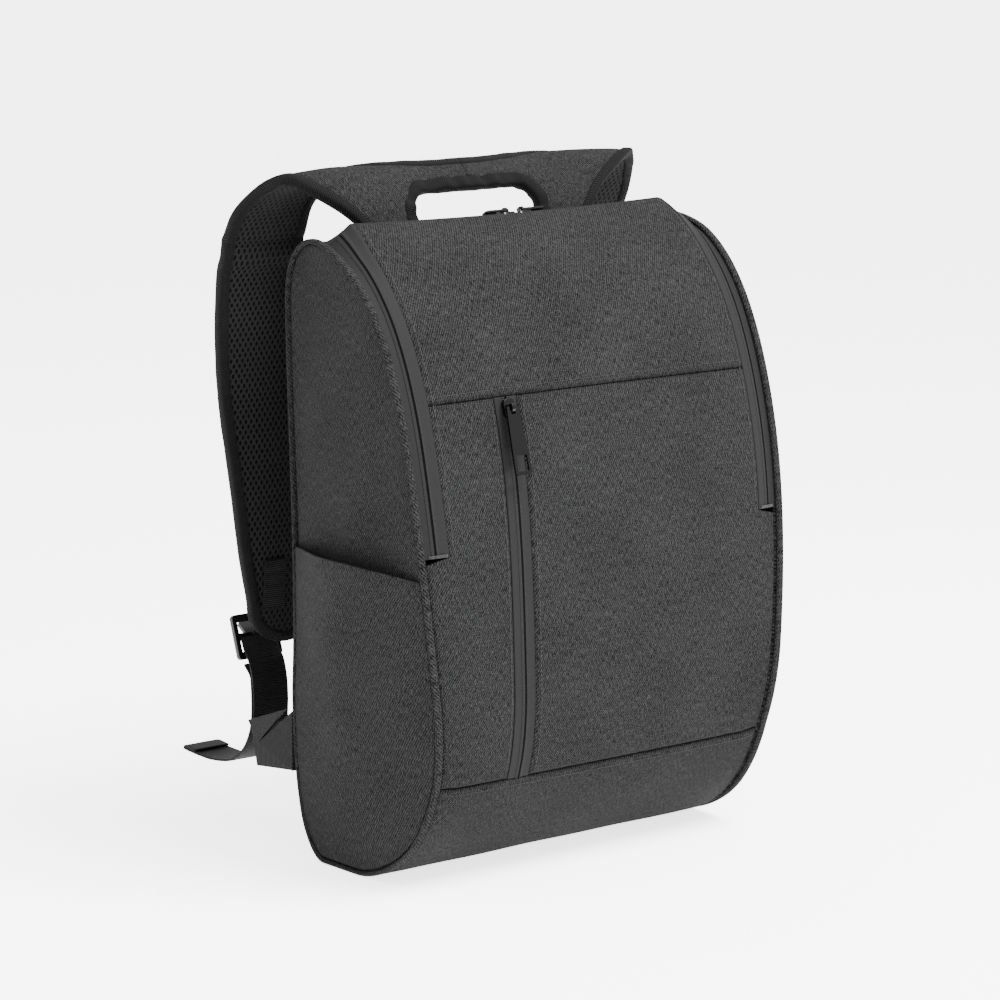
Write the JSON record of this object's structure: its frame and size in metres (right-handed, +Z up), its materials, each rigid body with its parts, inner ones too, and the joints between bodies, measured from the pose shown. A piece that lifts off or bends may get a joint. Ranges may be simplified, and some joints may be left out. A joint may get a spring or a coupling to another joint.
{
  "type": "laptop backpack",
  "caption": "Upright laptop backpack with a raised zipped flap, side pockets, a one-piece padded shoulder yoke with a cut-out grab handle, and curved padded straps on adjustable webbing.",
  "frame": {"origin": "middle of the flat base that the pack stands on", "axes": "+Z up, +X to the right seen from the front, -Y to the front with the zips, +Y to the wearer's back and the straps"},
  "size_m": [0.3572, 0.3088, 0.4799],
  "materials": {
    "shell_cloth": "matte heathered twill",
    "tape_cloth": "matte zip tape",
    "mesh_cloth": "matte padded mesh",
    "binding_cloth": "matte ribbed binding",
    "webbing": "woven webbing",
    "buckle": "moulded, slightly glossy",
    "black_metal": "glossy black"
  },
  "bodies": {
    "pack": {"base_panel": "shell_cloth", "front_panel_left": "shell_cloth", "front_panel_right": "shell_cloth", "front_zip": "tape_cloth", "flap_panel": "shell_cloth", "main_zip_left": "tape_cloth", "main_zip_right": "tape_cloth", "main_zip_top": "tape_cloth", "top_gusset": "shell_cloth", "back_panel": "mesh_cloth", "side_panel_left": "shell_cloth", "side_panel_right": "shell_cloth", "piping_left": "shell_cloth", "piping_right": "shell_cloth", "side_pocket_left": "shell_cloth", "side_pocket_right": "shell_cloth", "shoulder_strap_left": "shell_cloth", "shoulder_strap_right": "shell_cloth", "strap_mesh_left": "mesh_cloth", "strap_mesh_right": "mesh_cloth", "strap_binding_left": "binding_cloth", "strap_binding_right": "binding_cloth", "handle_binding": "binding_cloth", "strap_patch_left": "webbing", "strap_patch_right": "webbing", "lock_loop_left": "webbing", "lock_loop_right": "webbing", "ladder_lock_left": "buckle", "ladder_lock_right": "buckle", "webbing_left": "webbing", "webbing_right": "webbing", "webbing_tail_left": "webbing", "webbing_tail_right": "webbing", "anchor_tab_left": "shell_cloth", "anchor_tab_right": "shell_cloth", "webbing_fold_left": "webbing", "webbing_fold_right": "webbing", "webbing_root_left": "webbing", "webbing_root_right": "webbing", "edge_loop_left": "webbing", "edge_loop_right": "webbing", "front_slider": "black_metal", "main_left_slider": "black_metal", "main_right_slider": "black_metal"},
    "front_pull": {"front_pull": "black_metal"},
    "main_left_pull": {"main_left_pull": "black_metal"},
    "main_right_pull": {"main_right_pull": "black_metal"}
  },
  "joints": [
    {"name": "front_pull_hinge", "type": "hinge", "parent": "pack", "child": "front_pull", "pos_m": [-0.07822, -0.09649, 0.32844], "axis": [-0.9991, 0.0435, 0], "range_deg": [0, 160]},
    {"name": "main_left_pull_hinge", "type": "hinge", "parent": "pack", "child": "main_left_pull", "pos_m": [0.00075, 0.0083, 0.44557], "axis": [0, 0.8546, -0.5193], "range_deg": [0, 105]},
    {"name": "main_right_pull_hinge", "type": "hinge", "parent": "pack", "child": "main_right_pull", "pos_m": [0.01524, 0.0083, 0.44559], "axis": [0, -0.854, 0.5202], "range_deg": [0, 105]}
  ]
}
